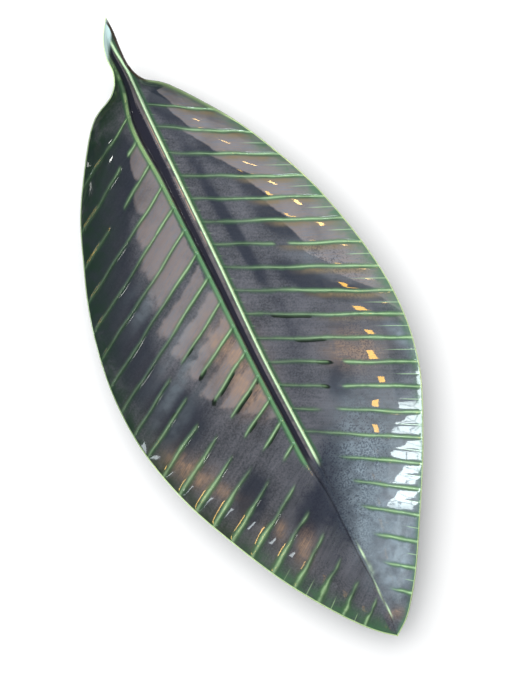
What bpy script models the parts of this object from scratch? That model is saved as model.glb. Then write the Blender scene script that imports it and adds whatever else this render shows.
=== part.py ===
"""A leaf-shaped glazed ceramic dish, fired as one piece.

+Y runs along the midrib to the stem, +X lies to its right and +Z is up. The dish stands at z = 0 on the flat
middle of its underside. Lengths here are millimetres, and place() turns them into Blender's metres.
"""

import math

import bmesh
import bpy
import numpy as np

METRES = 0.001
MID_LENGTH_Y = 19.75  # half-way between the tip's end and the stem's end, moved to y = 0

# The lines across each half: number, y where the line leaves the midrib, then x and y of its end on the rim.
# The side veins are the lines 0 to 20, the stem's point is -6 and the leaf's tip is 22.
STEM_END = -6
TIP_END = 22
RIGHT_LINES = (
    (-6, 219.5, 4.4, 219.5),
    (-5, 209.5, 4.9, 210.5),
    (-4, 199.5, 4.2, 200.5),
    (-3, 189.5, 4.4, 190.0),
    (-2, 181.5, 8.6, 180.0),
    (-1, 175.5, 20.8, 170.2),
    (0, 167.0, 40.3, 144.5),
    (2, 135.5, 62.3, 104.8),
    (5, 90.0, 79.7, 55.2),
    (8, 45.0, 87.7, 4.5),
    (11, -2.0, 83.0, -39.5),
    (14, -48.6, 66.2, -81.0),
    (17, -96.0, 45.0, -121.2),
    (20, -151.0, 21.5, -160.7),
    (21, -167.5, 12.6, -172.0),
    (22, -180.0, 2.6, -180.0),
)
LEFT_LINES = (
    (-6, 219.5, 4.4, 219.5),
    (-5, 209.5, -2.6, 209.6),
    (-4, 199.5, -5.9, 199.5),
    (-3, 189.5, -6.5, 188.5),
    (-2, 181.5, -13.0, 178.6),
    (-1, 174.5, -30.5, 167.6),
    (0, 164.0, -51.6, 136.6),
    (2, 133.5, -71.3, 92.7),
    (5, 89.5, -85.3, 40.3),
    (8, 42.0, -86.9, -7.6),
    (11, -7.5, -77.6, -50.0),
    (14, -52.5, -61.7, -87.9),
    (17, -101.5, -40.3, -128.2),
    (20, -155.0, -12.8, -166.1),
    (21, -169.5, -5.0, -174.0),
    (22, -180.0, 2.6, -180.0),
)

# Along the midrib: y, x of its middle, half the gap between its ridges, groove's depth, ridges' height
MIDRIB = (
    (-180, 2.6, 0.8, 0.2, 0.0),
    (-166, 4.5, 1.0, 0.4, 0.2),
    (-130, 3.1, 1.2, 0.5, 0.3),
    (-85, 2.4, 1.9, 0.6, 0.4),
    (-66, 1.0, 3.1, 1.1, 1.0),
    (-40, -0.2, 3.2, 1.6, 1.5),
    (0, -1.7, 3.3, 1.9, 1.6),
    (60, -2.0, 3.9, 2.0, 1.7),
    (120, -2.8, 4.6, 2.0, 1.7),
    (165, -3.1, 4.9, 2.0, 1.6),
    (178, -1.2, 3.2, 2.4, 1.1),
    (189, -0.7, 2.6, 2.6, 0.6),
    (200, -1.4, 2.0, 2.0, 0.4),
    (208, -0.1, 0.7, 0.2, 0.1),
    (219.5, 4.4, 0.5, 0.0, 0.0),
)

# At each line: z of the floor beside the midrib, z of the rim, radius of the rim's lip, wall under the midrib
SECTIONS = (
    (-6, 42.0, 42.0, 1.3, 3.0),
    (-5, 38.8, 39.6, 1.6, 5.0),
    (-4, 32.0, 33.8, 1.7, 6.5),
    (-3, 24.8, 27.5, 1.7, 7.0),
    (-2, 19.0, 24.0, 1.7, 7.0),
    (-1, 14.0, 24.5, 1.6, 6.5),
    (0, 10.0, 25.8, 1.5, 6.5),
    (2, 6.3, 27.5, 1.5, 6.5),
    (5, 5.0, 28.5, 1.5, 6.5),
    (8, 5.0, 29.0, 1.5, 6.5),
    (11, 5.0, 29.0, 1.5, 6.5),
    (14, 5.2, 28.5, 1.5, 6.5),
    (17, 7.5, 27.0, 1.5, 6.0),
    (20, 15.0, 24.4, 1.5, 5.0),
    (21, 18.9, 23.4, 1.5, 4.5),
    (22, 23.0, 23.0, 1.5, 4.0),
)

SIDE_CURVE = 2.3  # power of the way out with which the blade rises from the floor to the rim
VEINS = range(21)  # the lines that carry a raised side vein
VEIN_PITCH = 13.7  # square to the veins
VEIN_HEIGHT = 1.1
VEIN_SPREAD = 0.75  # half-width of a vein's rounded ridge
VEIN_FADE = 0.9  # way out past which a vein sinks into the rim
PANEL_DIP = 0.5  # how far the panels between the veins sink
GROOVE_FLAT = 0.5  # part of the half gap that is the groove's flat floor
RIDGE_SPREAD = 1.0  # half-width of the midrib's two ridges
RIDGE_FOOT = 1.6  # from a ridge's crest to the blade
MOST_GAP = 0.6  # in the narrow stem and tip, the parts of the half-width for groove, ridge and lip
MOST_FOOT = 0.8
MOST_LIP = 0.4
STEEPEST_LIP = math.radians(62)
FLAT_LIP_WIDTH = 12  # half-width under which the lip leans less
STEEPEST_WALL = 0.9  # rise over run past which the wall is no longer thickened downwards
STEM_SPACING = 10.0  # between two lines near the stem's point
TIP_SPACING = 12.5  # between two lines near the tip
NEAR = 0.02  # step in line numbers that gives the rim's direction

# The mesh's lines along the dish and its columns from the midrib outwards
STEM_LINES = (-5.93, -5.75, -5.4, -5, -4.5, -4, -3.5, -3, -2.5, -2, -1.6, -1.2, -0.8, -0.4)
VEIN_SIDES = (-0.1, 0, 0.1, 0.5)
TIP_LINES = (21, 21.35, 21.65, 21.85, 21.95)
GROOVE_COLUMNS = (0.5, 1.0)  # of the half gap
BLADE_COLUMNS = (0.14, 0.28, 0.42, 0.56, 0.7, 0.85, 1.0)
LIP_COLUMNS = (45, 0, -45, -90)  # degrees round the lip, from its top
UNDER_COLUMNS = (0.82, 0.64, 0.46, 0.29)


def curve(rows, column):
    """A smooth function through one column of a table, read at the table's first column."""
    table = np.array(rows, float)
    knots = table[:, 0]
    values = table[:, column]
    slopes = np.gradient(values, knots)

    def read(place):
        i = int(np.clip(np.searchsorted(knots, place) - 1, 0, len(knots) - 2))
        width = knots[i + 1] - knots[i]
        part = (place - knots[i]) / width
        rest = 1 - part
        ends = rest * rest * (1 + 2 * part) * values[i] + part * part * (1 + 2 * rest) * values[i + 1]
        return ends + width * part * rest * (rest * slopes[i] - part * slopes[i + 1])

    return read


def bell(distance, spread):
    return math.exp(-((distance / spread) ** 2))


def step(value, low, high):
    part = min(max((value - low) / (high - low), 0.0), 1.0)
    return part * part * (3 - 2 * part)


MID_X, HALF_GAP, GROOVE_DEPTH, RIDGE_HEIGHT = (curve(MIDRIB, column) for column in range(1, 5))
FLOOR_Z, RIM_Z, LIP_RADIUS, FLOOR_WALL = (curve(SECTIONS, column) for column in range(1, 5))
STARTS = {1: curve(RIGHT_LINES, 1), -1: curve(LEFT_LINES, 1)}
RIMS = {
    1: (curve(RIGHT_LINES, 2), curve(RIGHT_LINES, 3)),
    -1: (curve(LEFT_LINES, 2), curve(LEFT_LINES, 3)),
}


def rim_point(side, line):
    read_x, read_y = RIMS[side]
    return np.array((read_x(line), read_y(line)))


def middle_point(line):
    y = (STARTS[1](line) + STARTS[-1](line)) / 2
    return np.array((MID_X(y), y))


class HalfLine:
    """One line across one half of the dish, from the middle of the midrib out to the rim."""

    def __init__(self, side, line):
        self.side = side
        self.line = line
        self.middle = middle_point(line)
        self.rim = rim_point(side, line)
        self.start_y = STARTS[side](line)
        self.floor = FLOOR_Z(line)
        self.rise = RIM_Z(line) - self.floor
        half_width = np.linalg.norm(self.rim - self.middle)

        before = rim_point(side, max(line - NEAR, STEM_END))
        along = rim_point(side, min(line + NEAR, TIP_END)) - before
        along /= np.linalg.norm(along)
        inward = np.array((along[1], -along[0])) * side
        outward_way = (self.rim - self.middle) / half_width
        self.slope = SIDE_CURVE * self.rise / (half_width * abs(inward @ outward_way))
        lean = min(math.atan(self.slope), STEEPEST_LIP) * min(1, half_width / FLAT_LIP_WIDTH)

        radius = LIP_RADIUS(line)
        end_gap = min((line - STEM_END) * STEM_SPACING, (TIP_END - line) * TIP_SPACING)
        self.thin = math.sqrt(1 - (1 - min(end_gap / radius, 1)) ** 2)
        self.lip_wide = min(radius, MOST_LIP * half_width)
        self.lip_high = radius * self.thin
        self.inward = inward
        self.lean = lean
        self.lip_top = self.rim + inward * self.lip_wide * (1 + math.sin(lean))
        self.lip_under = self.rim + inward * self.lip_wide * (1 - math.sin(lean))
        self.lip_middle_z = self.floor + self.rise - self.lip_high * math.cos(lean)

        reach = abs(self.lip_top[0] - self.middle[0])
        self.half_gap = min(HALF_GAP(self.start_y), MOST_GAP * reach)
        self.ridge_foot = min(self.half_gap + RIDGE_FOOT, MOST_FOOT * reach)

    def top(self, where, distance):
        """A point of the upper surface, from its place seen from above and its distance from the midrib."""
        way = min(distance / np.linalg.norm(self.lip_top - self.middle), 1.0)
        y = where[1]
        z = self.floor + self.rise * way**SIDE_CURVE
        groove = 1 - step(distance, GROOVE_FLAT * self.half_gap, self.half_gap)
        relief = RIDGE_HEIGHT(y) * bell(distance - self.half_gap, RIDGE_SPREAD) - GROOVE_DEPTH(y) * groove

        nearest = round(self.line)
        off_vein = self.line - nearest
        if nearest in VEINS:
            shown = step(distance, self.half_gap, self.ridge_foot) * (1 - step(way, VEIN_FADE, 1))
            relief += VEIN_HEIGHT * bell(off_vein * VEIN_PITCH, VEIN_SPREAD) * shown
        if self.line > 0:
            relief -= PANEL_DIP * math.sin(math.pi * off_vein) ** 2 * 4 * way * (1 - way)
        return (*where, z + relief * self.thin)

    def groove_points(self):
        """The upper surface from just beside the middle to the foot of the midrib's ridge."""
        distances = [self.half_gap * part for part in GROOVE_COLUMNS] + [self.ridge_foot]
        points = []
        for distance in distances:
            part = distance / self.ridge_foot
            y = self.middle[1] + part * (self.start_y - self.middle[1])
            points.append(self.top((MID_X(y) + self.side * distance, y), distance))
        return points

    def blade_points(self):
        start = np.array((MID_X(self.start_y) + self.side * self.ridge_foot, self.start_y))
        points = []
        for part in BLADE_COLUMNS:
            where = start + part * (self.lip_top - start)
            points.append(self.top(where, self.ridge_foot + np.linalg.norm(where - start)))
        return points

    def lip_points(self):
        points = []
        for degrees in LIP_COLUMNS:
            angle = math.radians(degrees)
            out = math.cos(angle) * math.cos(self.lean) - math.sin(angle) * math.sin(self.lean)
            up = math.cos(angle) * math.sin(self.lean) + math.sin(angle) * math.cos(self.lean)
            where = self.rim + self.inward * self.lip_wide * (1 - out)
            points.append((*where, self.lip_middle_z + self.lip_high * up))
        return points

    def under(self, part):
        """A point of the underside, part of the way out from the middle to the lip."""
        where = self.middle + part * (self.lip_under - self.middle)
        tilt = math.hypot(1, min(self.slope, STEEPEST_WALL) * part ** (SIDE_CURVE - 1))
        lip_wall = 2 * LIP_RADIUS(self.line)
        wall = lip_wall + (FLOOR_WALL(self.line) - lip_wall) * (1 - part * part)
        z = self.floor + self.rise * part**SIDE_CURVE - wall * self.thin * tilt
        return (*where, max(z, 0.0))

    def under_points(self):
        return [self.under(part) for part in UNDER_COLUMNS]

    def outwards(self):
        return self.groove_points() + self.blade_points() + self.lip_points() + self.under_points()


def ring(line):
    """The dish's closed outline along one line: the right half out and back under, then the left half."""
    right = HalfLine(1, line)
    left = HalfLine(-1, line)
    middle_top = (*right.middle, right.floor - GROOVE_DEPTH(right.middle[1]) * right.thin)
    return [middle_top, *right.outwards(), right.under(0), *reversed(left.outwards())]


def place(point):
    x, y, z = point
    return (x * METRES, (y - MID_LENGTH_Y) * METRES, z * METRES)


def end_point(line):
    return place((*rim_point(1, line), RIM_Z(line) - LIP_RADIUS(line)))


def dish_mesh():
    vein_lines = [vein + by for vein in VEINS for by in VEIN_SIDES]
    lines = [*STEM_LINES, *vein_lines, *TIP_LINES]
    bm = bmesh.new()
    rings = [[bm.verts.new(place(point)) for point in ring(line)] for line in lines]
    for near, far in zip(rings, rings[1:]):
        for i in range(len(near)):
            bm.faces.new((near[i - 1], near[i], far[i], far[i - 1]))
    for points, line in ((rings[0], STEM_END), (rings[-1], TIP_END)):
        end = bm.verts.new(end_point(line))
        for i in range(len(points)):
            bm.faces.new((points[i - 1], points[i], end))
    bmesh.ops.recalc_face_normals(bm, faces=bm.faces)
    mesh = bpy.data.meshes.new("leaf_dish")
    bm.to_mesh(mesh)
    bm.free()
    return mesh


def glaze():
    material = bpy.data.materials.new("green_and_slate_glaze")
    material.use_nodes = True
    shader = material.node_tree.nodes["Principled BSDF"]
    shader.inputs["Base Color"].default_value = (0.05, 0.07, 0.06, 1)
    shader.inputs["Roughness"].default_value = 0.12
    shader.inputs["Metallic"].default_value = 0.0
    return material


def build():
    for thing in list(bpy.data.objects):
        bpy.data.objects.remove(thing)
    mesh = dish_mesh()
    mesh.shade_smooth()
    mesh.set_sharp_from_angle(angle=math.radians(60))
    mesh.materials.append(glaze())
    bpy.context.scene.collection.objects.link(bpy.data.objects.new("leaf_dish", mesh))


build()
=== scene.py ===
import math

import bpy
import numpy as np
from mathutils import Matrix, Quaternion, Vector


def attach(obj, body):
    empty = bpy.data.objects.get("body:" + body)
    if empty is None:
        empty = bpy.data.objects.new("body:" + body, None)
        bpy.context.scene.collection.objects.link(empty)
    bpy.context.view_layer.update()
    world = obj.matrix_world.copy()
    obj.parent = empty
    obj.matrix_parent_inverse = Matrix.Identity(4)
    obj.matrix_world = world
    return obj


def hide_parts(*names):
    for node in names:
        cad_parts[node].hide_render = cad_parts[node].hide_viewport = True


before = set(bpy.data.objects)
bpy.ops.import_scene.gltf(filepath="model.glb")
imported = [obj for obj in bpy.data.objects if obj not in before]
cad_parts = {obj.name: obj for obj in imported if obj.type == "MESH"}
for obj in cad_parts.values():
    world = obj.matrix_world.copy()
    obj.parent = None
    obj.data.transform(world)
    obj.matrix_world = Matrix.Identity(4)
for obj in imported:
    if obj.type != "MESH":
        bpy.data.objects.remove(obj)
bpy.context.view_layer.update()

# A glazed ceramic dish in the shape of a broad leaf, seen from straight above.
# Leaf measures are millimetres: x across, y up the midrib, z above the table. A line runs from the midrib
# out to the rim. The side veins are lines 0 to 20, the stem's point is line -6 and the leaf's tip is line 22.
millimetre = 0.001

leaf = {
    "middleY": 19.75,      # the y that lies over the row frame's origin
    "stemEnd": -6,
    "tipEnd": 22,
    "rightLines": (        # line, y at the midrib, x and y of its end on the rim
        (-6, 219.5, 4.4, 219.5), (-5, 209.5, 4.9, 210.5), (-4, 199.5, 4.2, 200.5), (-3, 189.5, 4.4, 190.0),
        (-2, 181.5, 8.6, 180.0), (-1, 175.5, 20.8, 170.2), (0, 167.0, 40.3, 144.5), (2, 135.5, 62.3, 104.8),
        (5, 90.0, 79.7, 55.2), (8, 45.0, 87.63, 4.5), (11, -2.0, 83.0, -39.5), (14, -48.6, 66.2, -81.0),
        (17, -96.0, 45.0, -121.2), (20, -151.0, 21.5, -160.7), (21, -167.5, 12.6, -172.0),
        (22, -180.0, 2.6, -180.0)),
    "leftLines": (
        (-6, 219.5, 4.4, 219.5), (-5, 209.5, -2.6, 209.6), (-4, 199.5, -5.9, 199.5), (-3, 189.5, -6.5, 188.5),
        (-2, 181.5, -13.0, 178.6), (-1, 174.5, -30.5, 167.6), (0, 164.0, -51.6, 136.6),
        (2, 133.5, -71.3, 92.7), (5, 89.5, -85.3, 40.3), (8, 42.0, -86.85, -7.6), (11, -7.5, -77.6, -50.0),
        (14, -52.5, -61.7, -87.9), (17, -101.5, -40.3, -128.2), (20, -155.0, -12.8, -166.1),
        (21, -169.5, -5.0, -174.0), (22, -180.0, 2.6, -180.0)),
    "midrib": (            # y, x of the middle, half the gap between the ridges, groove depth, ridge height
        (-180, 2.6, 0.8, 0.2, 0.0), (-166, 4.5, 1.0, 0.4, 0.2), (-130, 3.1, 1.2, 0.5, 0.3),
        (-85, 2.4, 1.9, 0.6, 0.4), (-66, 1.0, 3.1, 1.1, 1.0), (-40, -0.2, 3.2, 1.6, 1.5),
        (0, -1.7, 3.3, 1.9, 1.6), (60, -2.0, 3.9, 2.0, 1.7), (120, -2.8, 4.6, 2.0, 1.7),
        (165, -3.1, 4.9, 2.0, 1.6), (178, -1.2, 3.2, 2.4, 1.1), (189, -0.7, 2.6, 2.6, 0.6),
        (200, -1.4, 2.0, 2.0, 0.4), (208, -0.1, 0.7, 0.2, 0.1), (219.5, 4.4, 0.5, 0.0, 0.0)),
    "sections": (          # line, floor z beside the midrib, rim z, lip radius, wall under the midrib
        (-6, 41.85, 41.85, 1.3, 3.0), (-5, 38.7, 39.5, 1.6, 5.0), (-4, 32.0, 33.8, 1.7, 6.5),
        (-3, 24.8, 27.5, 1.7, 7.0), (-2, 19.0, 24.0, 1.7, 7.0), (-1, 14.0, 24.5, 1.6, 6.5),
        (0, 10.0, 25.8, 1.5, 6.5), (2, 6.3, 27.5, 1.5, 6.5), (5, 5.0, 28.5, 1.5, 6.5),
        (8, 5.0, 29.0, 1.5, 6.5), (11, 5.0, 29.0, 1.5, 6.5), (14, 5.2, 28.5, 1.5, 6.5),
        (17, 7.5, 27.0, 1.5, 6.0), (20, 15.0, 24.4, 1.5, 5.0), (21, 18.9, 23.4, 1.5, 4.5),
        (22, 23.0, 23.0, 1.5, 4.0)),
    "sideCurve": 2.3,      # power of the way out with which the blade rises
    "panelDip": 0.5,       # how far the panels sink between the veins
    "waves": 0.06,         # of the hand-pressed surface
    "grooveFlat": 0.5,
    "ridgeSpread": 1.0,
    "ridgeFoot": 1.6,
    "ridgeStart": (-72, -62),       # y between which the ridges' pale lines, and the dark crease, come in
    "creaseStart": (-70, -60),
    "midribEnd": (203, 209),        # y between which both go out again
    "mostGap": 0.6,        # limits in the narrow stem and tip, in parts of the half width
    "mostFoot": 0.8,
    "mostLip": 0.4,
    "lipNarrow": 0.45,     # the lip's width seen from above, in parts of its height
    "steepestLip": math.radians(62),
    "flatLipWidth": 12,
    "steepestWall": 0.9,
    "stemSpacing": 10.0,
    "tipSpacing": 12.5,
}

vein = {
    "last": 20,
    "pitch": 13.7,         # square to the veins
    "height": 0.85,
    "spread": 0.8,
    "wedge": 0.6,          # how much wider the veins of the lower left grow towards the rim
    "fade": (0.95, 1.0),   # ways out between which a vein sinks into the rim
    "wander": 0.022,       # how far a vein strays from its line, in parts of the pitch
    "fineWander": 0.012,
    "uneven": 0.22,        # how much its height varies
    "fineUneven": 0.1,
    "minorHeight": 0.16,   # the fine lines half-way between two veins
    "minorSpread": 0.4,
    # Stretches where a vein sinks away, as vein: (from, to) in distance from the midrib
    "rightGaps": {6: (42, 51), 11: (40, 50), 12: (32, 42), 13: (20, 33), 15: (-5, 20), 16: (-5, 20),
                  17: (-5, 17), 18: (-5, 17), 19: (-5, 14), 20: (-5, 9)},
    "leftGaps": {1: (17, 26), 2: (36, 52), 8: (48, 60), 9: (39, 55), 10: (38, 56), 11: (33, 48),
                 12: (31, 45), 13: (23, 39), 14: (14, 33), 15: (-5, 19), 16: (-5, 20), 17: (-5, 18),
                 18: (-5, 15), 19: (-5, 11), 20: (-5, 6)},
    "gapSoft": 2.5,        # half the length over which a vein sinks away
    "lowGapSoft": 6.0,     # the same on the veins past the twelfth
    # Black-green painted shade along the lower, dark side of a vein: vein, from, to, offset and half width
    "rightVeinShade": ((9, 20, 44, 1.3, 1.0), (10, 27, 46, 1.3, 1.1), (11, 33, 43, 0.4, 1.4),
                   (12, 29, 34, 0.2, 1.5)),
    "leftVeinShade": ((8, 36, 42, 1.0, 0.7), (9, 34, 42, 0.8, 1.5), (9, 66, 71, -1.0, 0.7),
                  (10, 17, 33, 1.5, 0.9), (10, 37, 41, 0.6, 2.2), (11, 5, 8, 1.5, 1.2),
                  (11, 12, 29, 1.4, 1.1), (12, 3, 6, 1.6, 1.3), (12, 19, 27, 1.4, 1.0),
                  (13, 7, 20, 1.3, 0.8)),
    "veinShadeSoft": 2.5,
}

meshLines = {
    "stemEnds": (0.02, 0.05, 0.1, 0.18, 0.28),       # line numbers past the stem's point
    "stemRows": np.linspace(-5.6, -0.55, 34),
    "halfPanel": (0, 0.02, 0.042, 0.065, 0.09, 0.12, 0.16, 0.21, 0.27, 0.34, 0.42, 0.47),
    "tipRows": np.linspace(20.55, 21.62, 14),
    "tipEnds": (0.3, 0.22, 0.15, 0.09, 0.045, 0.02),  # line numbers short of the tip
    "groove": (0.3, 0.5, 0.6, 0.69, 0.77, 0.85, 0.93, 1.0),     # parts of the half gap
    "ridge": (0.2, 0.4, 0.6, 0.8, 1.0),              # parts of the way down to the ridge's foot
    "blade": (*np.linspace(0.02, 0.98, 49), 0.992, 0.998, 1.0),
    "lip": np.radians((86, *np.linspace(67.5, -90, 8))),
    "under": (0.94, 0.86, 0.76, 0.64, 0.5, 0.36, 0.22, 0.1),
}


# A smooth curve through one column of a table, read at the table's first column.
def smoothCurve(rows, column):
    table = np.array(rows, float)
    knots, values = table[:, 0], table[:, column]
    slopes = np.gradient(values, knots)

    def read(place):
        i = np.clip(np.searchsorted(knots, place) - 1, 0, len(knots) - 2)
        width = knots[i + 1] - knots[i]
        part = (place - knots[i]) / width
        rest = 1 - part
        ends = rest * rest * (1 + 2 * part) * values[i] + part * part * (1 + 2 * rest) * values[i + 1]
        return ends + width * part * rest * (rest * slopes[i] - part * slopes[i + 1])

    return read


def bell(distance, spread):
    return np.exp(-((distance / spread) ** 2))


def ease(value, low, high):  # a smooth step from 0 at low to 1 at high
    part = np.clip((value - low) / (high - low), 0, 1)
    return part * part * (3 - 2 * part)


def between(value, low, high, soft):  # 1 between the two, with soft ends
    return ease(value, low - soft, low + soft) * (1 - ease(value, high - soft, high + soft))


middleX, halfGap, grooveDepth, ridgeHeight = (smoothCurve(leaf["midrib"], k) for k in range(1, 5))
floorZ, rimZ, lipRadius, floorWall = (smoothCurve(leaf["sections"], k) for k in range(1, 5))
sideLines = {1: leaf["rightLines"], -1: leaf["leftLines"]}
startY = {side: smoothCurve(rows, 1) for side, rows in sideLines.items()}
rimX = {side: smoothCurve(rows, 2) for side, rows in sideLines.items()}
rimY = {side: smoothCurve(rows, 3) for side, rows in sideLines.items()}


def rimPoint(side, line):
    return np.stack((rimX[side](line), rimY[side](line)), -1)


# The dish's thickness near its two ends, where it closes like the end of a rod.
def endThinning(line):
    endGap = np.minimum((line - leaf["stemEnd"]) * leaf["stemSpacing"],
                        (leaf["tipEnd"] - line) * leaf["tipSpacing"])
    return np.sqrt(1 - (1 - np.minimum(endGap / lipRadius(line), 1)) ** 2)


# How strongly each vein stands out, from 0 in its gaps to 1.
def veinStrength(side, number, distance):
    gaps = vein["rightGaps"] if side > 0 else vein["leftGaps"]
    strength = np.ones_like(distance)
    for at, (near, far) in gaps.items():
        soft = vein["lowGapSoft"] if at > 12 else vein["gapSoft"]
        strength = np.where(number == at, 1 - between(distance, near, far, soft), strength)
    return strength


# How bright a vein's crest is, from 0 to 1: it fades on the dark upper left and comes back towards the rim.
def veinGlow(side, number, way):
    patchy = 0.5 + 0.3 * np.sin(way * 9 + number * 4.3) + 0.2 * np.sin(way * 23 + number * 2.7 + side)
    if side > 0:
        return (0.24 + 0.76 * ease(way, 0.15, 0.75)) * (0.65 + 0.45 * patchy)
    root = 0.8 * (1 - ease(way, 0.15, 0.6))
    outer = 0.95 * ease(way, 0.5, 0.85) * ease(number, 7, 12) * (1 - 0.5 * ease(way, 0.84, 0.98))
    return np.clip(0.14 + (root + outer) * (0.65 + 0.45 * patchy), 0, 1)


# Where the black-green painted shade lies along the veins, from 0 to 1.
def veinShadeMask(side, number, distance, off):
    veinShade = 0 * off
    for at, near, far, offset, wide in vein["rightVeinShade"] if side > 0 else vein["leftVeinShade"]:
        veinShadeSpot = between(distance, near, far, vein["veinShadeSoft"]) * bell(off - offset, wide)
        veinShade = np.maximum(veinShade, np.where(number == at, veinShadeSpot, 0))
    return veinShade


# Where the fine lines half-way between two veins show: towards the rim, and as ticks beside the right ridge.
def minorMask(side, rows, number, way, distance):
    line = rows["line"]
    outer = ease(way, 0.8 + 0.05 * np.sin(number * 2.1 + side), 0.91) * (line > 1)
    outer = outer * np.where(side > 0, 1, ease(line, 15, 18))
    ticks = (1 - ease(distance, rows["foot"], rows["foot"] + 4)) * (side > 0) * (line < 11)
    return np.maximum(outer, 0.7 * ticks) * (line > -0.5) * (line < vein["last"])


# The upper surface at points given by place and distance from the midrib, with what the glaze needs to know.
def upperSurface(side, rows, x, y, distance):
    way = np.minimum(distance / rows["span"], 1)
    line = rows["line"]
    z = rows["floor"] + rows["rise"] * way ** leaf["sideCurve"]
    ridgeOff = distance - rows["halfGap"]
    groove = 1 - ease(distance, leaf["grooveFlat"] * rows["halfGap"], rows["halfGap"])
    ridge = ridgeHeight(y) * bell(ridgeOff, leaf["ridgeSpread"])

    # Each vein wanders a little and is nowhere quite even.
    number = np.clip(np.round(line), 0, vein["last"]) + 0 * way
    wander = vein["wander"] * np.sin(way * 8 + number * 2.4 + side)
    wander = wander + vein["fineWander"] * np.sin(way * 21 + number * 5.1)
    wander = wander * (1 - 0.6 * ease(line, 13.5, 15.5) * (side > 0))
    off = (line - number - wander * ease(way, 0, 0.2) * (1 - ease(way, 0.8, 1))) * vein["pitch"]
    broad = 1 + vein["wedge"] * ease(way, 0.55, 0.9) * ease(line, 8.5, 11) * (side < 0)
    uneven = 1 + vein["uneven"] * np.sin(way * 13 + number * 3.7 + side)
    uneven = uneven + vein["fineUneven"] * np.sin(way * 37 + number * 1.9)
    shown = ease(ridgeOff, -0.8, 0.4) * (line > -0.5) * (line < vein["last"] + 0.5)
    strength = veinStrength(side, number, distance) * shown
    sunk = 1 - ease(way, *vein["fade"])
    crest = vein["height"] * uneven * bell(off, vein["spread"] * broad) * strength * sunk
    relief = (ridge**4 + crest**4) ** 0.25 - grooveDepth(y) * groove  # the higher of ridge and vein

    halfOff = np.abs(line - np.floor(line) - 0.5) * vein["pitch"]
    minor = minorMask(side, rows, number, way, distance)
    relief = relief + vein["minorHeight"] * bell(halfOff, vein["minorSpread"]) * minor * sunk

    # The panels sink between the veins, less so on the lower right.
    dip = np.sin(np.pi * (line - number)) ** 2 * 4 * way * (1 - way) * (line > 0)
    dip = dip * (1 - (0.5 * ease(line, 9.8, 11.2) + 0.2 * ease(line, 14.5, 16.5)) * (side > 0))
    waves = np.sin(x * 0.21 + y * 0.07) + np.sin(y * 0.17 - x * 0.11 + 1.3) + np.sin(x * 0.1 - y * 0.26)
    relief = relief - leaf["panelDip"] * dip + leaf["waves"] * waves * way * (1 - way) * 4

    # A brown band of painted reflection under the upper right veins
    brownBandReflection = ease(off, 0.5, 1.6) * (1 - ease(off, 2.2, 5.5)) * between(way, 0.52, 0.93, 0.1)
    shoulder = between(line, -1.9, 0.3, 0.5) * (side > 0)
    midribEnd = 1 - ease(y, *leaf["midribEnd"])
    surface = {
        "x": x, "y": y, "z": z + relief * rows["thin"], "line": line, "across": side * distance,
        "rimGap": (1 - way) * rows["span"] * rows["square"] + rows["lipInset"],
        "veinOff": np.abs(off) / broad, "veinShow": strength, "veinGlow": veinGlow(side, number, way),
        "minorOff": halfOff, "minorShow": minor,
        "veinShade": veinShadeMask(side, number, distance, off),
        "brownBandReflection": brownBandReflection * (side > 0) * (1 - ease(line, 8, 10.5)),
        "ridgeOff": ridgeOff, "ridgeShow": ease(y, *leaf["ridgeStart"]) * midribEnd,
        "crease": ease(y, *leaf["creaseStart"]) * midribEnd,
        "under": 0, "wideRim": 1 + 1.5 * shoulder,
        "rimDull": shoulder if side > 0 else 0.8 * between(line, -2, 9, 2),
        "stemWallShade": between(line, -5.8, -1.8, 0.3) * (side > 0),
    }
    return {name: values + 0 * way for name, values in surface.items()}


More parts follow.
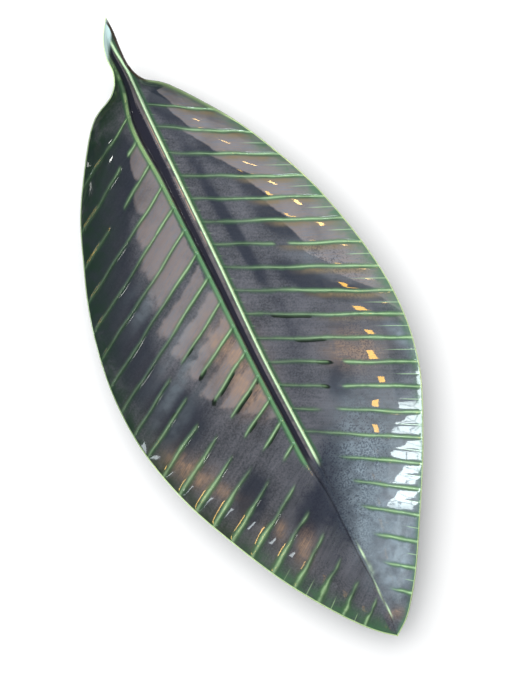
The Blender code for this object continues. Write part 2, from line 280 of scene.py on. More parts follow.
# Where one side's rows run: the foot beside the midrib, the wall's slope, and the lip's place, size and lean.
def rowPlan(side, line):
    middleAt = (startY[1](line) + startY[-1](line)) / 2
    middle = np.stack((middleX(middleAt), middleAt), -1)
    rim = rimPoint(side, line)
    start = startY[side](line)
    floor = floorZ(line)
    rise = rimZ(line) - floor
    halfWidth = np.linalg.norm(rim - middle, axis=-1)
    near = 0.02  # of a line each way, to find the rim's direction
    along = (rimPoint(side, np.minimum(line + near, leaf["tipEnd"]))
             - rimPoint(side, np.maximum(line - near, leaf["stemEnd"])))
    along /= np.linalg.norm(along, axis=-1)[:, None]
    inward = np.stack((along[:, 1], -along[:, 0]), -1) * side
    square = np.abs(np.sum(inward * (rim - middle), -1)) / halfWidth
    slope = leaf["sideCurve"] * rise / (halfWidth * square)
    lean = np.minimum(np.arctan(slope), leaf["steepestLip"]) * np.minimum(1, halfWidth / leaf["flatLipWidth"])
    lipWide = np.minimum(leaf["lipNarrow"] * lipRadius(line), leaf["mostLip"] * halfWidth)
    # On the blade the lip is crossed along the veins, so that they run straight to the edge.
    alongVein = (middle - rim) / (halfWidth * square)[:, None]
    onBlade = (ease(line, -2, 1) * (1 - ease(line, 19, 21)))[:, None]
    lipWay = inward + (alongVein - inward) * onBlade
    lipTop = rim + lipWay * (lipWide * (1 + np.sin(lean)))[:, None]
    lipUnder = rim + lipWay * (lipWide * (1 - np.sin(lean)))[:, None]
    reach = np.abs(lipTop[:, 0] - middle[:, 0])
    gap = np.minimum(halfGap(start), leaf["mostGap"] * reach)
    foot = np.minimum(gap + leaf["ridgeFoot"], leaf["mostFoot"] * reach)
    footX = middleX(start) + side * foot
    plan = {
        "line": line, "floor": floor, "rise": rise, "slope": slope, "square": square,
        "thin": endThinning(line), "middleX": middle[:, 0], "middleY": middleAt, "start": start,
        "halfGap": gap, "foot": foot, "footX": footX,
        "span": foot + np.hypot(lipTop[:, 0] - footX, lipTop[:, 1] - start),
        "rimX": rim[:, 0], "rimY": rim[:, 1], "lean": lean, "lipWide": lipWide,
        "lipRadius": lipRadius(line), "lipInset": lipWide * (1 + np.sin(lean)),
        "lipWayX": lipWay[:, 0], "lipWayY": lipWay[:, 1], "lipTopX": lipTop[:, 0],
        "lipTopY": lipTop[:, 1], "lipUnderX": lipUnder[:, 0], "lipUnderY": lipUnder[:, 1],
    }
    return {name: values[:, None] for name, values in plan.items()}


# The groove, then the ridge down to its foot.
def midribPart(side, rows):
    inGroove = rows["halfGap"] * np.array(meshLines["groove"])
    overRidge = rows["halfGap"] + (rows["foot"] - rows["halfGap"]) * np.array(meshLines["ridge"])
    distance = np.hstack((inGroove, overRidge))
    y = rows["middleY"] + distance / rows["foot"] * (rows["start"] - rows["middleY"])
    return upperSurface(side, rows, middleX(y) + side * distance, y, distance)


def bladePart(side, rows):
    part = np.array(meshLines["blade"])
    x = rows["footX"] + part * (rows["lipTopX"] - rows["footX"])
    y = rows["start"] + part * (rows["lipTopY"] - rows["start"])
    distance = rows["foot"] + np.hypot(x - rows["footX"], y - rows["start"])
    return upperSurface(side, rows, x, y, distance)


# Half a round, leaning with the wall, from its top over the rim to the underside.
def lipPart(rows):
    turn = meshLines["lip"] + rows["lean"]
    shift = rows["lipWide"] * (1 - np.cos(turn))
    return {
        "x": rows["rimX"] + rows["lipWayX"] * shift,
        "y": rows["rimY"] + rows["lipWayY"] * shift,
        "z": rows["floor"] + rows["rise"]
             + rows["lipRadius"] * rows["thin"] * (np.sin(turn) - np.cos(rows["lean"])),
        "rimGap": np.where(turn > -0.01, shift, -shift),
        "under": ease(-meshLines["lip"], -0.4, 0.5) + 0 * shift,
    }


# The underside, a wall's thickness below the upper side and flattened where the dish stands.
def underPart(rows):
    part = np.array(meshLines["under"])
    tilt = np.hypot(1, np.minimum(rows["slope"], leaf["steepestWall"]) * part ** (leaf["sideCurve"] - 1))
    lipWall = 2 * rows["lipRadius"]
    wall = lipWall + (floorWall(rows["line"]) - lipWall) * (1 - part * part)
    z = rows["floor"] + rows["rise"] * part ** leaf["sideCurve"] - wall * rows["thin"] * tilt
    return {
        "x": rows["middleX"] + part * (rows["lipUnderX"] - rows["middleX"]),
        "y": rows["middleY"] + part * (rows["lipUnderY"] - rows["middleY"]),
        "z": np.maximum(z, 0), "rimGap": -5 + 0 * z, "under": 1 + 0 * z,
    }


# One half of every row across the dish, from just beside the midrib's middle out and back underneath. What
# only the upper surface knows is carried on unchanged from its last column.
def halfRows(side, line):
    rows = rowPlan(side, line)
    inner, blade, lip, under = midribPart(side, rows), bladePart(side, rows), lipPart(rows), underPart(rows)
    half = {}
    for name, upper in blade.items():
        carried = [more.get(name, np.repeat(upper[:, -1:], more["x"].shape[1], 1)) for more in (lip, under)]
        half[name] = np.hstack((inner[name], upper, *carried))
    return half


def meshRows():
    panel = meshLines["halfPanel"]
    phases = sorted({*panel, *(-part for part in panel), 0.5})
    return np.concatenate((
        [leaf["stemEnd"] + past for past in meshLines["stemEnds"]], meshLines["stemRows"],
        [-0.5], [number + phase for number in range(vein["last"] + 1) for phase in phases],
        meshLines["tipRows"], [leaf["tipEnd"] - short for short in meshLines["tipEnds"]]))


# Every point of the dish as rows by columns: the middle, the right half out and back, then the left half.
def dishGrid(line):
    right, left = halfRows(1, line), halfRows(-1, line)
    middleAt = (startY[1](line) + startY[-1](line)) / 2
    thin = endThinning(line)
    top = {name: right[name][:, :1] for name in right}
    top.update({"x": middleX(middleAt)[:, None], "y": middleAt[:, None], "across": 0 * line[:, None],
                "z": (floorZ(line) - grooveDepth(middleAt) * thin)[:, None]})
    bottom = {name: right[name][:, -1:] for name in right}
    bottom.update({"x": top["x"], "y": top["y"],
                   "z": np.maximum(floorZ(line) - floorWall(line) * thin, 0)[:, None]})
    return {name: np.hstack((top[name], right[name], bottom[name], left[name][:, ::-1])) for name in right}


# Tints laid over the blade as soft spots: x, y, half length, half width, turn in degrees, and a share of the
# full strength where it isn't 1.
def softSpots(x, y, spots):
    total = 0 * x
    for spotX, spotY, long, wide, turn, *share in spots:
        a = math.radians(turn)
        along = (x - spotX) * math.cos(a) + (y - spotY) * math.sin(a)
        aside = (y - spotY) * math.cos(a) - (x - spotX) * math.sin(a)
        total = total + np.exp(-((along / long) ** 2) - (aside / wide) ** 2) * (share[0] if share else 1)
    return np.minimum(total, 1)


tints = {
    # y and x of the edge past which the right half turns from navy and painted dark reflection to painted
    # taupe reflection
    "rightEdge": ((-30, 90), (5, 80), (28, 63), (47, 52), (71, 48), (103, 39), (124, 27), (143, 19),
                  (167, 15)),
    # y and distance of the edge up to which the left half is painted taupe reflection
    "leftEdge": ((-60, -30), (-40, 0), (-22, 24), (-8, 40), (16, 46), (40, 47), (72, 41), (92, 37),
                 (111, 29), (136, 20), (151, 14), (165, 4)),
    # Painted warm reflection of lamps, amber brown
    "warmReflection": ((-14, 8, 26, 13, 90), (-12, -14, 10, 8, 30), (52, -17, 14, 10, -35), (-68, -37, 15, 7, -50),
             (-58, -54, 12, 4, -50), (-33, -95, 5, 3, 60), (-24, -110, 9, 5, 60), (8, -168, 4, 3, 0)),
    # Navy glaze, and painted dark reflection of the room's dark side
    "navyAndDarkReflection": ((22, 155, 16, 9, -30), (33, 128, 18, 12, -40), (44, 96, 16, 9, -50), (44, 70, 18, 8, -60),
              (44, 34, 20, 7, -50), (60, 18, 16, 4, -26), (38, -30, 12, 8, 60), (20, -4, 36, 13, 60, 0.35),
              (14, 166, 9, 6, -20), (69, 52, 11, 6, -55, 0.25), (-27, 138, 22, 9, 60),
              (-45, -14, 16, 10, 50, 0.4), (-60, 100, 45, 22, 70), (-45, 130, 30, 14, 60),
              (-66, 40, 40, 14, 80), (-60, -10, 22, 12, 70), (-40, -70, 16, 10, 50), (14, -96, 34, 14, 80),
              (8, -84, 20, 9, 70), (-14, -95, 15, 8, 50), (18, 80, 50, 4, 95)),
    "speckle": ((14, -90, 34, 17, 80), (58, -12, 36, 17, 70), (-12, -88, 24, 12, 60), (60, 40, 18, 8, -50),
                (24, -70, 20, 16, 60), (-4, -120, 18, 10, 90), (40, -70, 18, 12, 80)),
    "crackle": ((58, -96, 42, 22, 62),),
    # Painted sheen of reflected light, pale blue-grey
    "paintedSheen": ((40, -100, 50, 22, 60, 0.8), (14, -118, 26, 9, 75, 0.7), (30, -70, 34, 14, 70, 0.8),
             (-46, 14, 44, 14, 48, 0.8), (22, -110, 14, 9, 60), (20, -140, 20, 10, 60, 0.9),
             (52, 44, 15, 7, -60, 0.3), (-50, 60, 14, 8, 50, 0.8), (80, -22, 14, 4, -75, 0.8)),
    # Painted highlights along the crease near the tip
    "tipHighlight": ((4.8, -128, 5, 0.6, 92), (4.0, -150, 6, 0.5, 88), (5.4, -138, 4, 1.2, 88, 0.4),
                (4.4, -164, 4, 0.5, 90)),
}


def addTints(grid):
    x, y, line = grid["x"], grid["y"], grid["line"]
    saw = line - np.floor(line) - 0.5
    edge = np.array(tints["rightEdge"], float)
    right = x - np.interp(y, edge[:, 0], edge[:, 1]) - 5 * saw
    edge = np.array(tints["leftEdge"], float)
    left = np.interp(y, edge[:, 0], edge[:, 1]) + x - 5 * saw - 3 * (np.abs(saw) * 2) ** 4
    # Down the middle of the left half the painted taupe reflection keeps to the lower part of each panel,
    # with a rounded head.
    tongues = between(line, 5.0, 20.0, 0.5)
    lowerPart = 8 * (saw + 0.12) + 40 * (1 - tongues)
    head = -x - 9.5 + 40 * (1 - between(line, 3.9, 7.4, 0.3))
    crisp = 1 / (1 + 2 * (1 - ease(y, 60, 125)))
    left = np.minimum(np.minimum(left * crisp, lowerPart), head)
    grid["taupeReflection"] = np.where(x > middleX(y), right, left)
    for name in ("warmReflection", "navyAndDarkReflection", "speckle", "paintedSheen", "crackle", "tipHighlight"):
        grid[name] = softSpots(x, y, tints[name])
    # On the left the painted sheen keeps to the upper part of each panel.
    grid["paintedSheen"] = grid["paintedSheen"] * np.where(x < middleX(y), 0.6 * between(saw, -0.4, 0.15, 0.2), 1)
    greenWidth = np.where(x < 0, 9 + 10 * ease(y, 20, 130) - 2 * ease(-y, 20, 90),
                          3.5 + 3.5 * between(y, 0, 120, 30) - 1.5 * ease(-y, 60, 120))
    grid["wallGreen"] = np.exp(-((np.maximum(grid["rimGap"], 0) / greenWidth) ** 2))
    return grid


surfaceFields = ("line", "across", "rimGap", "veinOff", "veinShow", "veinGlow", "minorOff", "minorShow",
                 "ridgeOff", "ridgeShow", "crease", "under", "wideRim", "rimDull", "stemWallShade", "taupeReflection",
                 "warmReflection", "veinShade", "brownBandReflection", "navyAndDarkReflection", "speckle", "paintedSheen", "crackle", "tipHighlight", "wallGreen")


# A ball is added and each of its rings becomes one row across the dish. Its two poles become the points of
# the stem and of the tip, so the skin has no seam.
def makeDish():
    line = meshRows()
    grid = addTints(dishGrid(line))
    rowCount, columnCount = grid["x"].shape
    bpy.ops.object.select_all(action="DESELECT")
    bpy.ops.mesh.primitive_uv_sphere_add(segments=columnCount, ring_count=rowCount + 1, radius=1)
    dish = bpy.context.object
    dish.name = dish.data.name = "leafDish"
    mesh = dish.data
    ball = np.zeros(len(mesh.vertices) * 3)
    mesh.vertices.foreach_get("co", ball)
    ball = ball.reshape(-1, 3)
    row = np.round(np.arccos(np.clip(ball[:, 2], -1, 1)) / np.pi * (rowCount + 1)).astype(int) - 1
    turn = np.arctan2(ball[:, 1], ball[:, 0]) / (2 * np.pi)
    column = np.round(turn * columnCount).astype(int) % columnCount
    inRing = (row >= 0) & (row < rowCount)
    row = np.clip(row, 0, rowCount - 1)

    place = np.stack([grid[name][row, column] for name in "xyz"], -1)
    for end, pole in ((leaf["stemEnd"], ball[:, 2] > 0), (leaf["tipEnd"], ball[:, 2] < 0)):
        point = (rimX[1](end), rimY[1](end), rimZ(end) - lipRadius(end))
        place[pole & ~inRing] = point
    place[:, 1] -= leaf["middleY"]
    mesh.vertices.foreach_set("co", (place * millimetre).ravel())
    for name in surfaceFields:
        field = mesh.attributes.new(name, "FLOAT", "POINT")
        field.data.foreach_set("value", grid[name][row, column].astype(np.float32))
    mesh.update()
    bpy.ops.object.mode_set(mode="EDIT")
    bpy.ops.mesh.select_all(action="SELECT")
    bpy.ops.mesh.normals_make_consistent(inside=False)
    bpy.ops.object.mode_set(mode="OBJECT")
    bpy.ops.object.shade_smooth()
    print("dish:", rowCount, "rows of", columnCount, "points")
    return dish


# Short ways to lay nodes: a socket or a plain value goes into each input.
def plug(tree, socket, value):
    if isinstance(value, bpy.types.NodeSocket):
        tree.links.new(value, socket)
    else:
        socket.default_value = value


def addNode(tree, kind, inputs=(), **settings):
    node = tree.nodes.new(kind)
    for name, value in settings.items():
        setattr(node, name, value)
    for name, value in dict(inputs).items():
        plug(tree, node.inputs[name], value)
    return node


def calc(tree, operation, *values):
    node = addNode(tree, "ShaderNodeMath", operation=operation)
    for socket, value in zip(node.inputs, values):
        plug(tree, socket, value)
    return node.outputs[0]


def sumOf(tree, *values):
    total = values[0]
    for value in values[1:]:
        total = calc(tree, "ADD", total, value)
    return total


def productOf(tree, *values):
    total = values[0]
    for value in values[1:]:
        total = calc(tree, "MULTIPLY", total, value)
    return total


def softStep(tree, value, low, high, start=0.0, end=1.0):
    inputs = {"Value": value, "From Min": low, "From Max": high, "To Min": start, "To Max": end}
    return addNode(tree, "ShaderNodeMapRange", inputs, interpolation_type="SMOOTHSTEP").outputs["Result"]


def blend(tree, amount, under, over):
    node = addNode(tree, "ShaderNodeMix", data_type="RGBA")
    for socket, value in ((node.inputs[0], amount), (node.inputs[6], under), (node.inputs[7], over)):
        plug(tree, socket, value)
    return node.outputs[2]


def opposite(tree, value):
    return calc(tree, "SUBTRACT", 1.0, value)


def strongest(tree, *values):
    most = values[0]
    for value in values[1:]:
        most = calc(tree, "MAXIMUM", most, value)
    return most


def gapFrom(tree, value, middle):
    return calc(tree, "ABSOLUTE", calc(tree, "SUBTRACT", value, middle))


def noise(tree, place, scale, detail=3.0, roughness=0.55, distortion=0.0):
    inputs = {"Vector": place, "Scale": scale, "Detail": detail, "Roughness": roughness,
              "Distortion": distortion}
    return addNode(tree, "ShaderNodeTexNoise", inputs).outputs["Fac"]


def ragged(tree, at, value, amount):  # a value whose steps get uneven edges
    return sumOf(tree, value, productOf(tree, calc(tree, "SUBTRACT", at["patchy"], 0.5), amount))


def layOver(tree, tone, share, name):  # one more of the glaze's colours over the tone so far
    return blend(tree, share, tone, glazeLook[name])


def linear(value):  # from a screen value between 0 and 255
    part = value / 255
    return part / 12.92 if part < 0.0405 else ((part + 0.055) / 1.055) ** 2.4


def colour(*screenValues):
    return (*(linear(value) for value in screenValues), 1)


glazeLook = {
    "slateDark": colour(42, 47, 54),
    "slateLight": colour(86, 88, 97),
    # Navy: partly the glaze's own, partly painted dark reflection
    "navyAndDarkReflection": colour(27, 34, 48),
    # Painted reflection of a taupe room surface, in a warm and a cool tone
    "taupeReflection": colour(122, 112, 111),
    "coolTaupeReflection": colour(110, 112, 122),
    # Painted sheen, pale blue-grey
    "paintedSheen": colour(132, 148, 160),
    # Painted warm reflection of lamps
    "warmReflection": colour(150, 124, 104),
    "wallGreen": colour(16, 44, 30),
    # The walls' green lightened as painted reflection
    "litWallGreen": colour(60, 100, 72),
    # Painted brown reflection under the upper right veins
    "brownBandReflection": colour(112, 98, 72),
    "halo": colour(30, 62, 42),
    # Painted shade on a vein's dark side, black-green
    "veinShadeSpot": colour(5, 20, 13),
    "speckle": colour(18, 24, 42),
    "veinDeep": colour(72, 108, 72),
    "veinGreen": colour(160, 194, 150),
    # The ridges' pale glaze, whitened to serve as painted highlight
    "veinPaleHighlight": colour(200, 232, 190),
    "groove": colour(26, 28, 42),
    "gleam": colour(102, 98, 102),
    "warmGleam": colour(190, 160, 140),
    "ridgeHalo": colour(48, 88, 58),
    "ridgeDull": colour(84, 128, 88),
    "ridgeTop": colour(136, 170, 116),
    # Painted highlight on the stem's end, pale blue
    "stemEndHighlight": colour(176, 204, 206),
    # The stem's outer wall, dark brown as painted shade
    "stemWallShade": colour(42, 34, 24),
    "rimPale": colour(190, 214, 156),
    "dullRim": colour(122, 144, 98),
    "underside": colour(30, 50, 42),
    "clay": colour(196, 172, 148),
    "clayDark": colour(170, 144, 120),
    "clayHeight": 0.35,     # the flat belly is wiped bare up to this height
    "broadScale": 45.0,     # of the three grains of noise, by the metre
    "patchyScale": 130.0,
    "fineScale": 900.0,
    "navyAndDarkReflectionShare": 0.85,     # how fully a colour covers at its strongest
    "taupeReflectionShare": 0.85,
    "haloShare": 0.55,
    "speckleShare": 0.58,
    "minorShare": 0.5,
    "ridgeHaloShare": 0.85,
    # The pale line's place on the left and on the right ridge of the midrib, and its half width
    "ridgeMiddle": (0.7, 0.15),
    "ridgeWidth": (1.6, 1.35),
    "roughness": 0.38,
    "coatRoughness": 0.035,
    "specular": 0.25,
}


# What the glaze reads at each point: the dish's own fields, three grains of noise, and a few masks.
def readSurface(tree):
    at = {name: addNode(tree, "ShaderNodeAttribute", attribute_name=name).outputs["Fac"]
          for name in surfaceFields}
    place = addNode(tree, "ShaderNodeTexCoord").outputs["Object"]
    at["broad"] = noise(tree, place, glazeLook["broadScale"], detail=4.0)
    at["patchy"] = noise(tree, place, glazeLook["patchyScale"], detail=4.0, distortion=0.4)
    at["fine"] = noise(tree, place, glazeLook["fineScale"], detail=2.0, roughness=0.6)
    at["onRight"] = softStep(tree, at["across"], -1.0, 1.0)
    speckled = softStep(tree, sumOf(tree, at["fine"], productOf(tree, at["patchy"], 0.4)), 0.66, 0.84)
    at["speckled"] = productOf(tree, speckled, at["speckle"], glazeLook["speckleShare"])
    height = addNode(tree, "ShaderNodeSeparateXYZ", {"Vector": place}).outputs["Z"]
    clayTop = glazeLook["clayHeight"] * millimetre
    at["bare"] = productOf(tree, softStep(tree, ragged(tree, at, height, 0.0006), clayTop * 1.6, clayTop),
                           at["under"])
    return at


# Slate ground, drawn out along the veins by the brush, with its navy glaze and painted dark reflection, its
# painted taupe reflection, painted sheen and painted warm reflection.
def groundTone(tree, at):
    brushPlace = addNode(tree, "ShaderNodeCombineXYZ", {
        "X": productOf(tree, at["line"], 9.0), "Y": productOf(tree, at["across"], 0.05)}).outputs[0]
    brushed = noise(tree, brushPlace, 1.0)
    streaks = noise(tree, brushPlace, 2.3, distortion=0.3)
    ground = sumOf(tree, productOf(tree, at["broad"], 0.55), productOf(tree, brushed, 0.3),
                   productOf(tree, at["fine"], 0.5))
    tone = blend(tree, softStep(tree, ground, 0.45, 0.9), glazeLook["slateDark"], glazeLook["slateLight"])
    # Navy places, partly the glaze's own and partly painted dark reflection
    navyAndDarkReflection = softStep(tree, sumOf(tree, at["navyAndDarkReflection"], productOf(tree, at["patchy"], 0.5)), 0.35, 1.0)
    tone = layOver(tree, tone, productOf(tree, navyAndDarkReflection, glazeLook["navyAndDarkReflectionShare"]), "navyAndDarkReflection")
    # The taupe is painted reflection, with sawtooth edges that follow the panels
    taupeReflection = productOf(tree, softStep(tree, ragged(tree, at, at["taupeReflection"], 4.0), -0.7, 0.9),
                      softStep(tree, at["broad"], 0.2, 0.6, 0.55, 1.0), glazeLook["taupeReflectionShare"])
    taupeReflectionTone = blend(tree, softStep(tree, streaks, 0.38, 0.7), glazeLook["taupeReflection"], glazeLook["coolTaupeReflection"])
    tone = blend(tree, taupeReflection, tone, taupeReflectionTone)
    # Painted sheen of reflected light
    paintedSheen = productOf(tree, at["paintedSheen"], softStep(tree, at["patchy"], 0.3, 0.7, 0.25, 0.7))
    tone = layOver(tree, tone, paintedSheen, "paintedSheen")
    # Painted warm reflection, in amber-brown streaks
    warmReflection = productOf(tree, at["warmReflection"], softStep(tree, at["patchy"], 0.35, 0.6, 0.35, 0.9),
                     softStep(tree, streaks, 0.35, 0.6, 1.0, 0.55))
    return layOver(tree, tone, warmReflection, "warmReflection")


# The green of the walls, lighter on the right as painted reflection, the brown band of painted reflection
# under the upper right veins, and the halo and black-green painted shade that lie against the veins, with the
# speckle over them.
def greenTone(tree, at, tone):
    wall = productOf(tree, at["wallGreen"], softStep(tree, at["patchy"], 0.3, 0.65, 0.35, 1.0))
    # The green is the glaze's own. It is lighter on the right wall and towards the tip, and darker on the
    # left, as painted reflection
    litSide = strongest(tree, softStep(tree, at["across"], 20.0, 60.0), softStep(tree, at["line"], 13.0, 17.0))
    tone = blend(tree, wall, tone, blend(tree, litSide, glazeLook["wallGreen"], glazeLook["litWallGreen"]))
    # Painted brown reflection under the upper right veins
    brownBandReflection = productOf(tree, at["brownBandReflection"], softStep(tree, at["patchy"], 0.3, 0.6, 0.4, 0.85))
    tone = layOver(tree, tone, brownBandReflection, "brownBandReflection")
    haloEdge = sumOf(tree, at["veinOff"], productOf(tree, at["patchy"], 2.0))
    halo = productOf(tree, softStep(tree, haloEdge, 3.6, 1.0), at["veinShow"], glazeLook["haloShare"])
    tone = layOver(tree, tone, halo, "halo")
    # Painted shade along the veins' dark side
    tone = layOver(tree, tone, softStep(tree, ragged(tree, at, at["veinShade"], 0.5), 0.3, 0.7), "veinShadeSpot")
    return layOver(tree, tone, at["speckled"], "speckle")


# The side veins break through pale, where the glaze runs thin.
def veinTone(tree, at, tone):
    edge = ragged(tree, at, at["veinOff"], 1.4)
    shown = productOf(tree, softStep(tree, at["veinShow"], 0.1, 0.9), at["veinGlow"])
    tone = layOver(tree, tone, productOf(tree, softStep(tree, edge, 2.0, 0.0), shown), "veinDeep")
    core = productOf(tree, softStep(tree, edge, 0.95, -0.2), shown,
                     softStep(tree, at["patchy"], 0.3, 0.6, 0.55, 1.0))
    tone = layOver(tree, tone, core, "veinGreen")
    minor = productOf(tree, softStep(tree, at["minorOff"], 0.42, 0.05), at["minorShow"],
                      glazeLook["minorShare"])
    return layOver(tree, tone, minor, "veinGreen")


# The midrib's dark groove, with a cool and a warm gleam on its right wall, and the glow round its ridges.
def grooveTone(tree, at, tone):
    ridgeOff, line = at["ridgeOff"], at["line"]
    inGroove = productOf(tree, softStep(tree, ridgeOff, -0.4, -1.2), softStep(tree, at["crease"], 0.0, 1.0))
    tone = layOver(tree, tone, inGroove, "groove")
    rightWall = softStep(tree, at["across"], 0.2, 0.8)
    gleam = productOf(tree, softStep(tree, gapFrom(tree, ridgeOff, -1.9), 1.5, 0.6), rightWall, inGroove,
                      softStep(tree, at["patchy"], 0.3, 0.6, 0.5, 1.0))
    tone = layOver(tree, tone, gleam, "gleam")
    warmLine = productOf(tree, softStep(tree, gapFrom(tree, ridgeOff, -1.5), 0.45, 0.1), rightWall,
                         softStep(tree, at["patchy"], 0.4, 0.6), softStep(tree, line, 6.5, 5.0),
                         softStep(tree, line, 0.0, 1.2))
    tone = layOver(tree, tone, warmLine, "warmGleam")
    halo = productOf(tree, softStep(tree, gapFrom(tree, ridgeOff, 1.3), 2.8, 0.4), at["ridgeShow"],
                     glazeLook["ridgeHaloShare"])
    tone = layOver(tree, tone, halo, "ridgeHalo")
    # Painted highlights along the crease near the tip
    tipHighlight = productOf(tree, at["tipHighlight"], softStep(tree, at["patchy"], 0.35, 0.6, 0.35, 0.8))
    return layOver(tree, tone, tipHighlight, "veinPaleHighlight")


# The pale line along each ridge of the midrib, whiter on the right ridge as a painted highlight, and a
# painted highlight on the stem's end.
def ridgeTone(tree, at, tone):
    across, line = at["across"], at["line"]
    middle = softStep(tree, across, -1.0, 1.0, *glazeLook["ridgeMiddle"])
    width = softStep(tree, across, -1.0, 1.0, *glazeLook["ridgeWidth"])
    ridge = softStep(tree, calc(tree, "DIVIDE", gapFrom(tree, at["ridgeOff"], middle), width), 1.0, 0.1)
    # Beside the stem the left ridge shows only in patches.
    hidden = productOf(tree, softStep(tree, line, 1.0, -0.5), opposite(tree, at["onRight"]),
                       softStep(tree, at["patchy"], 0.4, 0.6, 0.85, 0.1))
    ridge = productOf(tree, ridge, at["ridgeShow"], opposite(tree, hidden))
    leftTone = blend(tree, softStep(tree, line, 5.0, 1.0), glazeLook["ridgeDull"], glazeLook["ridgeTop"])
    # The right ridge's whiter line is painted highlight
    tone = blend(tree, ridge, tone, blend(tree, at["onRight"], leftTone, glazeLook["veinPaleHighlight"]))
    # Painted highlight on the stem's end
    stemEnd = productOf(tree, softStep(tree, sumOf(tree, line, productOf(tree, across, 0.18)), -4.2, -4.7),
                        softStep(tree, line, -2.6, -3.4))
    return layOver(tree, tone, stemEnd, "stemEndHighlight")


# The thin pale line round the rim, and the stem's brown outer wall, darkened with painted shade.
def rimTone(tree, at, tone):
    edge = calc(tree, "ABSOLUTE", sumOf(tree, at["rimGap"], productOf(tree, at["patchy"], 0.3)))
    edge = calc(tree, "DIVIDE", edge, at["wideRim"])
    offWall = opposite(tree, productOf(tree, softStep(tree, at["rimGap"], 2.1, 1.4), at["stemWallShade"]))
    share = productOf(tree, softStep(tree, edge, 1.2, 0.5), offWall,
                      softStep(tree, at["rimDull"], 0.0, 1.0, 1.0, 0.7))
    paleLine = blend(tree, at["rimDull"], glazeLook["rimPale"], glazeLook["dullRim"])
    tone = blend(tree, share, tone, paleLine)
    # Painted shade on the stem's outer wall
    outerWall = productOf(tree, softStep(tree, at["rimGap"], 2.2, 1.5), at["stemWallShade"])
    return layOver(tree, tone, outerWall, "stemWallShade")


# The plain green underside, wiped down to the clay where the dish stands.
def undersideTone(tree, at, tone):
    tone = layOver(tree, tone, at["under"], "underside")
    clay = blend(tree, at["fine"], glazeLook["clay"], glazeLook["clayDark"])
    return blend(tree, at["bare"], tone, clay)


# Where the glaze dries to satin: at the tip, and on the right along the shoulder's wall and further in below
# it. The bounds are line numbers, and millimetres from the rim.
def satinMask(tree, at):
    line, rimGap = at["line"], at["rimGap"]
    inside = productOf(tree, softStep(tree, line, 14.0, 14.5), softStep(tree, rimGap, 18.5, 20.5))
    unevenGap = sumOf(tree, rimGap, productOf(tree, at["patchy"], 2.0))
    shoulder = productOf(tree, softStep(tree, line, 8.5, 9.0), softStep(tree, line, 12.8, 12.4),
                         softStep(tree, unevenGap, 3.0, 4.5), softStep(tree, rimGap, 17.0, 15.0))
    patches = productOf(tree, at["onRight"], strongest(tree, inside, shoulder))
    return strongest(tree, softStep(tree, line, 16.5, 17.2), patches)


# Fine crackle, seen only where the gloss catches a light.
def crackMask(tree, at):
    place = addNode(tree, "ShaderNodeCombineXYZ", {
        "X": productOf(tree, at["line"], 2.2), "Y": productOf(tree, at["across"], 0.09),
        "Z": productOf(tree, at["patchy"], 1.6)}).outputs[0]
    cracks = addNode(tree, "ShaderNodeTexVoronoi", {"Vector": place, "Scale": 1.0},
                     feature="DISTANCE_TO_EDGE").outputs["Distance"]
    return productOf(tree, softStep(tree, cracks, 0.03, 0.012), softStep(tree, at["crackle"], 0.1, 0.4))


def glazeFinish(tree, at, shader):
    satin, crack, bare = satinMask(tree, at), crackMask(tree, at), at["bare"]
    rough = sumOf(tree, glazeLook["roughness"], productOf(tree, at["speckled"], 0.2),
                  productOf(tree, bare, 0.45), productOf(tree, satin, 0.25))
    plug(tree, shader.inputs["Roughness"], rough)
    dull = strongest(tree, bare, productOf(tree, satin, 0.93), productOf(tree, crack, 0.9))
    plug(tree, shader.inputs["Coat Weight"], opposite(tree, dull))
    shader.inputs["Coat Roughness"].default_value = glazeLook["coatRoughness"]
    shader.inputs["Specular IOR Level"].default_value = glazeLook["specular"]
    bumps = sumOf(tree, productOf(tree, at["patchy"], 0.00012), productOf(tree, at["fine"], 0.000015))
    bump = addNode(tree, "ShaderNodeBump", {"Height": bumps, "Distance": 1.0, "Strength": 0.35})
    plug(tree, shader.inputs["Normal"], bump.outputs["Normal"])


def glazeMaterial():
    material = bpy.data.materials.new("greenSlateGlaze")
    material.use_nodes = True
    tree = material.node_tree
    shader = tree.nodes["Principled BSDF"]
    at = readSurface(tree)
    tone = groundTone(tree, at)
    for nextTone in (greenTone, veinTone, grooveTone, ridgeTone, rimTone, undersideTone):
        tone = nextTone(tree, at, tone)
    plug(tree, shader.inputs["Base Color"], tone)
    glazeFinish(tree, at, shader)
    return material


dish = makeDish()
dish.data.materials.append(glazeMaterial())
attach(dish, "root")
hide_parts("leaf_dish")
print("glaze: done")

# The camera looks straight down, turned so that the leaf's midrib leans this far over in the picture.
leafLean = math.radians(25.5)
imageRight = Vector((math.cos(leafLean), -math.sin(leafLean), 0))
imageUp = Vector((math.sin(leafLean), math.cos(leafLean), 0))

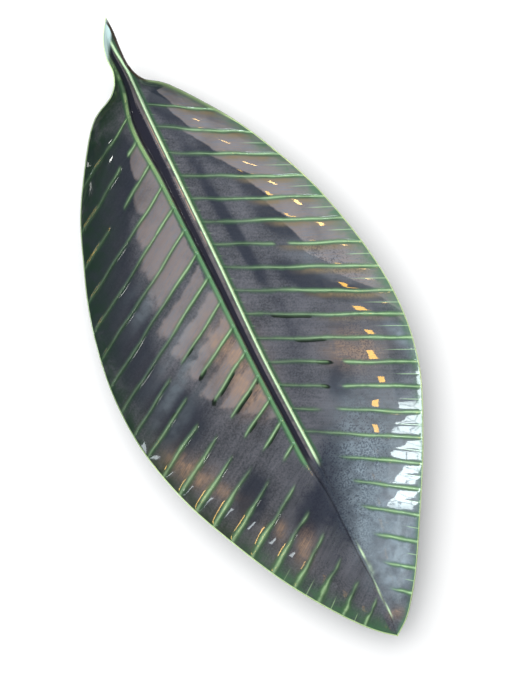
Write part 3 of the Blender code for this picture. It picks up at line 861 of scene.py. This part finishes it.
studio = {
    "lookAt": Vector((0.0035, -0.014, 0.025)),
    "cameraHeight": 1.6,
    "viewHeight": 0.410,   # seen from top to bottom of the picture
    "sensor": 36,
    "floorSize": 6.0,
    "floorColour": colour(250, 250, 250),
    "lightDistance": 1.2,
    # Each light's degrees round from the picture's right-hand side, degrees down from overhead, width and
    # length in metres, roll in degrees, radiance and colour. Those seen in the gloss light the dish alone.
    "glossLights": {
        "window": (189.5, 67, 0.21, 0.64, 22, 18.0, (0.86, 1.0, 1.0)),
        "lamp": (190, 41, 0.11, 0.07, 0, 24.0, (1.0, 0.54, 0.05)),
        "lowLamp": (219, 62, 0.075, 0.045, 0, 36.0, (1.0, 0.62, 0.20)),
        "sliver": (2, 62, 0.05, 0.16, 0, 26.0, (1.0, 1.0, 0.96)),
        "farPane": (56, 58, 0.13, 0.24, 10, 24.0, (1.0, 0.60, 0.18)),
        "farWindow": (34, 60, 0.04, 0.12, 10, 10.0, (0.85, 0.95, 1.0)),
    },
    "softBox": (128, 32, 1.5, 1.5, 0, 1.8, (1.0, 1.0, 1.0)),
    "fillBox": (0, 0, 2.4, 2.4, 0, 0.95, (1.0, 1.0, 1.0)),
    "horizon": (0.80, 0.84, 0.86, 1),
    "farWall": (0.16, 0.19, 0.18, 1),
    "overhead": (0.20, 0.19, 0.20, 1),
}


def studioPoint(degreesRound, degreesDown, distance):
    turn, down = math.radians(degreesRound), math.radians(degreesDown)
    level = (imageRight * math.cos(turn) + imageUp * math.sin(turn)) * math.sin(down)
    return studio["lookAt"] + (level + Vector((0, 0, math.cos(down)))) * distance


def makeFloor():
    bpy.ops.object.select_all(action="DESELECT")
    bpy.ops.mesh.primitive_plane_add(size=studio["floorSize"], location=(0, 0, 0))
    floor = bpy.context.object
    floor.name = "paleFloor"
    material = bpy.data.materials.new("palePaper")
    material.use_nodes = True
    shader = material.node_tree.nodes["Principled BSDF"]
    shader.inputs["Base Color"].default_value = studio["floorColour"]
    shader.inputs["Roughness"].default_value = 0.9
    shader.inputs["Specular IOR Level"].default_value = 0.1
    floor.data.materials.append(material)


def makeLight(name, degreesRound, degreesDown, width, length, roll, radiance, tint):
    data = bpy.data.lights.new(name, "AREA")
    data.shape = "RECTANGLE"
    data.size = width
    data.size_y = length
    data.energy = radiance * math.pi * width * length
    data.color = tint
    light = bpy.data.objects.new(name, data)
    light.location = studioPoint(degreesRound, degreesDown, studio["lightDistance"])
    facing = (studio["lookAt"] - light.location).to_track_quat("-Z", "Y")
    light.rotation_euler = (facing @ Quaternion((0, 0, 1), math.radians(roll))).to_euler()
    light.visible_camera = False
    bpy.context.scene.collection.objects.link(light)
    return light


def makeLights():
    dishOnly = bpy.data.collections.new("litDish")
    dishOnly.objects.link(dish)
    for name, values in studio["glossLights"].items():
        makeLight(name, *values).light_linking.receiver_collection = dishOnly
    for name in ("softBox", "fillBox"):
        makeLight(name, *studio[name]).visible_glossy = False


# A dim ceiling straight overhead, with a pale wall on the picture's left and a dark one on its right.
def makeWorld():
    world = bpy.data.worlds.new("studioRoom")
    bpy.context.scene.world = world
    world.use_nodes = True
    tree = world.node_tree
    towards = addNode(tree, "ShaderNodeTexCoord").outputs["Generated"]
    height = addNode(tree, "ShaderNodeSeparateXYZ", {"Vector": towards}).outputs["Z"]
    side = addNode(tree, "ShaderNodeVectorMath", {0: towards, 1: imageRight}, operation="DOT_PRODUCT")
    toRight = softStep(tree, side.outputs["Value"], -0.35, 0.25)
    walls = blend(tree, toRight, studio["horizon"], studio["farWall"])
    shade = blend(tree, softStep(tree, height, 0.35, 0.95), walls, studio["overhead"])
    plug(tree, tree.nodes["Background"].inputs["Color"], shade)


def makeCamera():
    data = bpy.data.cameras.new("photoCamera")
    data.sensor_width = studio["sensor"]
    data.lens = studio["sensor"] * studio["cameraHeight"] / studio["viewHeight"]
    camera = bpy.data.objects.new("photoCamera", data)
    camera.location = studio["lookAt"] + Vector((0, 0, studio["cameraHeight"]))
    camera.rotation_euler = (0, 0, -leafLean)
    bpy.context.scene.collection.objects.link(camera)
    bpy.context.scene.camera = camera


makeFloor()
makeLights()
makeWorld()
makeCamera()
bpy.context.scene.view_settings.view_transform = "Standard"
print("studio: done")
